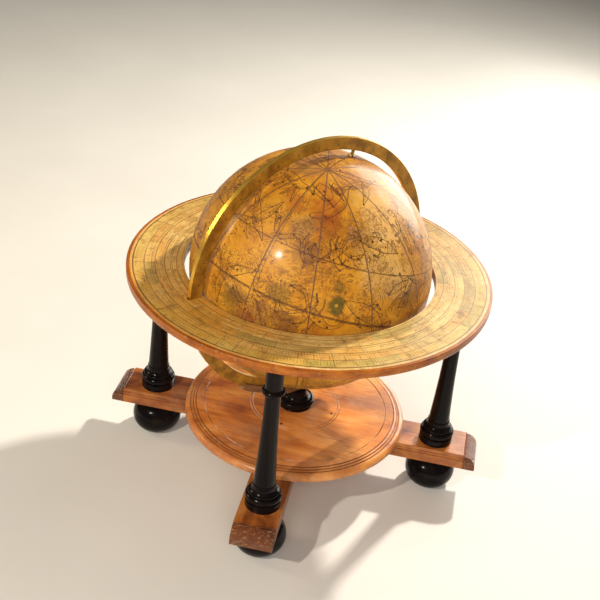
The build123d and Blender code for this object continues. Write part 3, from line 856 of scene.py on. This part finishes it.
FIGURES = {
    "bird": (((0.02, 0.15, 0.17, 0.08, 0.01), (-0.9, -0.1), (-0.4, 0), (0.2, 0.05), (0.6, 0.25), (0.9, 0.3)),
             ((0.13, 0.17, 0.02), (0.1, 0.1), (-0.1, 0.5), (-0.5, 0.95)),
             ((0.13, 0.15, 0.02), (0.15, 0), (0.1, -0.4), (-0.25, -0.9)),
             ((0.05, 0.1, 0.16), (-0.5, -0.02), (-0.8, -0.06), (-1.1, -0.15))),
    "beast": (((0.14, 0.22, 0.2, 0.1), (-0.7, 0.1), (-0.2, 0.15), (0.35, 0.1), (0.62, 0.32)),
              ((0.09, 0.12, 0.03), (0.6, 0.3), (0.8, 0.44), (1.02, 0.32)),
              ((0.1, 0.06, 0.03), (0.42, 0), (0.58, -0.3), (0.78, -0.6)),
              ((0.1, 0.06, 0.03), (0.22, 0), (0.3, -0.35), (0.18, -0.72)),
              ((0.13, 0.07, 0.03), (-0.6, 0.05), (-0.5, -0.3), (-0.72, -0.7)),
              ((0.1, 0.06, 0.03), (-0.42, 0.05), (-0.26, -0.3), (-0.38, -0.66)),
              ((0.03, 0.03, 0.06), (-0.72, 0.15), (-0.98, 0.42), (-1.12, 0.12))),
    "fish": (((0.05, 0.24, 0.27, 0.02), (-0.8, 0), (-0.3, 0.08), (0.3, 0.05), (0.9, 0)),
             ((0.04, 0.12), (-0.8, 0), (-1.08, 0.25)), ((0.04, 0.12), (-0.8, 0), (-1.08, -0.25)),
             ((0.1, 0.05, 0.01), (0.05, 0.25), (-0.15, 0.48), (-0.35, 0.42)),
             ((0.08, 0.04, 0.01), (0.2, -0.2), (0.02, -0.42), (-0.15, -0.4))),
    "serpent": (((0.02, 0.05, 0.08, 0.09, 0.09, 0.08, 0.07, 0.1, 0.03), (-1.2, 0.1), (-0.9, -0.25),
                 (-0.6, -0.1), (-0.35, 0.3), (0, 0.15), (0.25, -0.25), (0.6, -0.15), (0.8, 0.2), (1.05, 0.3)),),
    "ship": (((0.08, 0.17, 0.18, 0.05), (-0.9, 0), (-0.5, -0.38), (0.3, -0.42), (0.98, 0.05)),
             ((0.02, 0.02), (0, -0.28), (0.03, 0.95)), ((0.02, 0.02), (0.5, -0.25), (0.55, 0.6)),
             ((0.25, 0.3, 0.2), (0.05, 0.78), (0.16, 0.45), (0.05, 0.05)),
             ((0.16, 0.2, 0.14), (0.57, 0.5), (0.66, 0.28), (0.58, 0.0))),
    "robed": (((0.12, 0.13, 0.17), (0, -0.15), (0.02, 0.15), (0, 0.42)),
              ((0.06, 0.1, 0.05), (0, 0.5), (0, 0.62), (0.02, 0.75)),
              ((0.06, 0.05, 0.03), (0.14, 0.42), (0.45, 0.42), (0.75, 0.7)),
              ((0.06, 0.05, 0.03), (-0.14, 0.42), (-0.4, 0.18), (-0.66, 0.35)),
              ((0.1, 0.07, 0.04), (0.08, -0.15), (0.22, -0.55), (0.16, -0.98)),
              ((0.1, 0.07, 0.04), (-0.08, -0.15), (-0.34, -0.5), (-0.46, -0.92)),
              ((0.06, 0.15, 0.04), (-0.12, 0.3), (-0.5, -0.08), (-0.78, -0.5)),
              ((0.16, 0.22, 0.05), (0.05, -0.1), (0.1, -0.42), (-0.05, -0.7))),
    "scorpion": (((0.08, 0.17, 0.15, 0.07, 0.05, 0.05, 0.02), (0.3, 0.1), (0.05, 0.05), (-0.25, -0.05),
                  (-0.55, -0.1), (-0.85, 0.1), (-0.9, 0.45), (-0.6, 0.55)),
                 ((0.04, 0.04, 0.09, 0.02), (0.3, 0.15), (0.55, 0.45), (0.8, 0.5), (1.05, 0.4)),
                 ((0.04, 0.04, 0.09, 0.02), (0.3, 0.05), (0.55, -0.25), (0.8, -0.35), (1.05, -0.25)),
                 ((0.02, 0.02, 0.01), (0.1, 0.2), (0.15, 0.45), (0.3, 0.6)),
                 ((0.02, 0.02, 0.01), (-0.1, 0.15), (-0.1, 0.42), (0, 0.6)),
                 ((0.02, 0.02, 0.01), (0.1, -0.1), (0.15, -0.38), (0.35, -0.55)),
                 ((0.02, 0.02, 0.01), (-0.12, -0.15), (-0.12, -0.42), (0.02, -0.6))),
}
FIGURE_ROWS = ((72, 6, 11.0), (48, 11, 13.0), (22, 15, 13.5), (-5, 16, 13.5), (-31, 14, 13.0), (-55, 9, 12.5),
               (-76, 4, 11.0))
HATCH_SPACING = 0.055
OUTLINE = 0.00075
HATCH = 0.00050
outline_routes, hatch_routes, star_places = [], [], []
engraver = random.Random(40)


def limb_routes(limb):
    """Outline and shading strokes of one limb, in the figure's own plane."""
    widths, spine = limb[0], [Vector(point) for point in limb[1:]]
    left, right, hatches = [], [], []
    for index, (point, width) in enumerate(zip(spine, widths)):
        ahead = spine[min(index + 1, len(spine) - 1)] - spine[max(index - 1, 0)]
        side = Vector((-ahead.y, ahead.x)).normalized() * width
        left.append(point + side)
        right.append(point - side)
    tips = (spine[0] * 1.04 - spine[1] * 0.04, spine[-1] * 1.06 - spine[-2] * 0.06)
    outline = [left[0], *left, tips[1], *reversed(right), tips[0], left[0]]
    for index in range(len(spine) - 1):
        count = max(1, round((spine[index + 1] - spine[index]).length / HATCH_SPACING))
        for step in range(count):
            share = (step + engraver.random() * 0.4) / count
            low = right[index].lerp(right[index + 1], share)
            high = left[index].lerp(left[index + 1], share)
            hatches.append([low, low.lerp(high, engraver.uniform(0.30, 0.72))])
    return outline, hatches


def draw_figure(kind, longitude, latitude, size, heading, mirror):
    """Lays one figure on the ball about a point of the map. Its size is half its width, in degrees."""
    local = map_turn @ turn("Z", longitude) @ turn("Y", -latitude) @ turn("X", heading)

    def lay(point):
        reach = math.radians(point.length * size)
        flat = Vector((point.x * mirror, point.y)).normalized() * math.sin(reach)
        return middle + local.to_3x3() @ Vector((math.cos(reach), flat.x, flat.y)) * ball_radius

    for limb in FIGURES[kind]:
        outline, hatches = limb_routes(limb)
        outline_routes.append([lay(point) for point in outline])
        hatch_routes.extend([lay(point) for point in stroke] for stroke in hatches)
        for point in limb[1:]:
            if engraver.random() < 0.5:
                star_places.append((lay(Vector(point)), engraver.uniform(0.0012, 0.0030)))


kinds = list(FIGURES)
for latitude, count, size in FIGURE_ROWS:
    for index in range(count):
        kind = kinds[(index * 3 + round(abs(latitude))) % len(kinds)]
        draw_figure(kind, (index + engraver.uniform(-0.12, 0.12)) * 360 / count + latitude * 1.7,
                    latitude + engraver.uniform(-3, 3), size * engraver.uniform(0.85, 1.15),
                    engraver.uniform(-50, 50), engraver.choice((-1, 1)))

outlines = route_mesh("figure_outlines", outline_routes)
ribbon(outlines, out_of_ball, lambda place: OUTLINE, paper_place)
add_piece("figure_outlines", outlines, "globe", ink)
shading = route_mesh("figure_shading", hatch_routes, smooth=False)
ribbon(shading, out_of_ball, lambda place: HATCH, paper_place)
add_piece("figure_shading", shading, "globe", ink)

# ---------------------------------------------------------------- stars
# Six-pointed stars of a few sizes, printed black on the figures and scattered between them. Each is a small
# flat shape on the paper, turned at random.

LOOSE_STARS = 260
for index in range(LOOSE_STARS):
    latitude = math.degrees(math.asin(engraver.uniform(-1, 1)))
    star_places.append((on_ball(engraver.uniform(0, 360), latitude, map_turn), engraver.uniform(0.0009, 0.0022)))

shape = bmesh.new()
for place, size in star_places:
    facing = out_of_ball(place).to_track_quat("Z", "Y").to_matrix().to_4x4()
    spin = turn("Z", engraver.uniform(0, 60))
    star = bmesh.ops.create_circle(shape, cap_ends=True, segments=12, radius=size,
                                   matrix=Matrix.Translation(place) @ facing @ spin)
    for vert in star["verts"][::2]:
        vert.co = vert.co.lerp(place, 0.55)
for vert in shape.verts:
    vert.co = paper_place(vert.co, 0.00008)
star_mesh = bpy.data.meshes.new("map_stars")
shape.to_mesh(star_mesh)
shape.free()
add_piece("map_stars", star_mesh, "globe", ink)

# ---------------------------------------------------------------- meridian ring
# Cast brass, filed flat. Its faces are divided to single degrees and have gone brown under old lacquer,
# and its outer edge is rubbed bright.

BRASS_BROWN = (0.46, 0.225, 0.020)
BRASS_DARK = (0.26, 0.12, 0.013)
BRASS_WARM, BRASS_RUBBED, BRASS_BRIGHT = (0.62, 0.34, 0.045), (0.92, 0.50, 0.07), (1.0, 0.64, 0.10)
WAX_BLACK, WAX_BROWN, WAX_WORN = (0.012, 0.008, 0.006), (0.04, 0.02, 0.01), (0.05, 0.03, 0.018)
RING_CIRCLES = (0.1805, 0.1885, 0.1915, 0.1945)
TICKS_END = 0.1915
RING_NUMERALS, RING_NUMERAL_HEIGHT = 0.1855, 0.0044
RING_TICKS = ((1.0, 0.1885, 0.07), (5.0, 0.1870, 0.09), (10.0, 0.1835, 0.09))  # degrees, radius, half width


def paint_ring(place):
    centred = place.node("Mapping", {"vector_type": "TEXTURE"}, {"Vector": place, "Location": middle})
    x, y, z = centred.parts()
    radius = y.maths("SQRT", y * y + z * z)
    degrees = y.maths("ARCTAN2", z, y) * (180 / math.pi) + (360.0 - pole_altitude)
    face = x.size().step(0.0030, 0.0034)
    marks = face * 0.0
    for spacing, reach, half_width in RING_TICKS:
        near = degrees.maths("PINGPONG", degrees, spacing / 2)
        tick = (1 - near.step(half_width * 0.6, half_width * 1.4)) * band(radius, (reach, TICKS_END))
        marks = marks.larger(tick)
    for circle in RING_CIRCLES:
        marks = marks.larger(radius.line(circle, 0.00016))
    marks = marks * face
    patina = place.noise(38, 5, 0.65)
    spots = place.noise(160, 4, 0.7).step(0.55, 0.72)
    brown = patina.ramp((0.35, BRASS_DARK), (0.50, BRASS_BROWN), (0.70, BRASS_WARM))
    brown = (spots * 0.4).mix(brown, BRASS_DARK)
    bright = place.noise(80, 4, 0.6).ramp((0.3, BRASS_RUBBED), (0.6, BRASS_BRIGHT))
    metal = face.mix(bright, brown)
    return {"Base Color": (marks * 0.6).mix(metal, WAX_BROWN),
            "Metallic": 0.92 - (spots * 0.35 + marks * 0.5) * face - face * 0.38,
            "Roughness": 0.26 + patina * 0.10 + face * 0.12 + spots * face * 0.12,
            "Normal": (patina * 0.3 + spots * 0.15 - marks * 0.8).bump(0.0004, 0.5)}


aged_brass = finish("aged_brass", paint_ring)
coat(aged_brass, "meridian_ring")

black_wax = finish("black_wax", lambda place: {
    "Base Color": place.noise(300, 3).ramp((0.3, WAX_BLACK), (0.7, WAX_WORN))})
ring_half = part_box("meridian_ring")[1].x
places = []
for index in range(36):
    degrees = pole_altitude + 10 * index
    from_equator = (index * 10) % 180
    text = str(90 - from_equator if from_equator <= 90 else from_equator - 90)
    spot = Matrix.Translation(middle) @ turn("X", degrees)
    for face in (-1, 1):
        standing = turn("Z", 90 * face) @ turn("X", 90)
        reading = Matrix.Translation((face * (ring_half + 0.00003), RING_NUMERALS, 0))
        places.append((text, spot @ reading @ turn("X", -90) @ standing))
print_numerals("ring_numerals", RING_NUMERAL_HEIGHT, places, "meridian", black_wax)

# ---------------------------------------------------------------- pivots and pole bushes
# Turned brass pins screwed through the ring, running in brass bushes let into the ball's end blocks.


def paint_pin(place):
    turning = place.noise(900, 2)
    dull = place.noise(120, 4, 0.6).step(0.45, 0.7)
    return {"Base Color": dull.mix((0.62, 0.44, 0.16), (0.28, 0.18, 0.07)), "Roughness": 0.25 + dull * 0.2,
            "Normal": turning.bump(0.0002, 0.3)}


coat(finish("turned_brass", paint_pin, Metallic=1.0), "north_pivot", "south_pivot", "pole_bush_north",
     "pole_bush_south")

# ---------------------------------------------------------------- floor
# A plain pale floor far wider than the globe, matt, with hardly any clouding. It is part of the studio and not
# of the globe.

FLOOR_RADIUS = 12.0
shape = bmesh.new()
bmesh.ops.create_circle(shape, cap_ends=True, segments=96, radius=FLOOR_RADIUS)
floor_mesh = bpy.data.meshes.new("floor")
shape.to_mesh(floor_mesh)
shape.free()


def paint_floor(place):
    cloud = place.noise(3, 3)
    return {"Base Color": cloud.ramp((0.3, (0.72, 0.70, 0.67)), (0.7, (0.76, 0.74, 0.71))),
            "Roughness": 0.6 + cloud * 0.1}


floor_mesh.materials.append(finish("pale_floor", paint_floor))
floor = add_object("floor", floor_mesh)
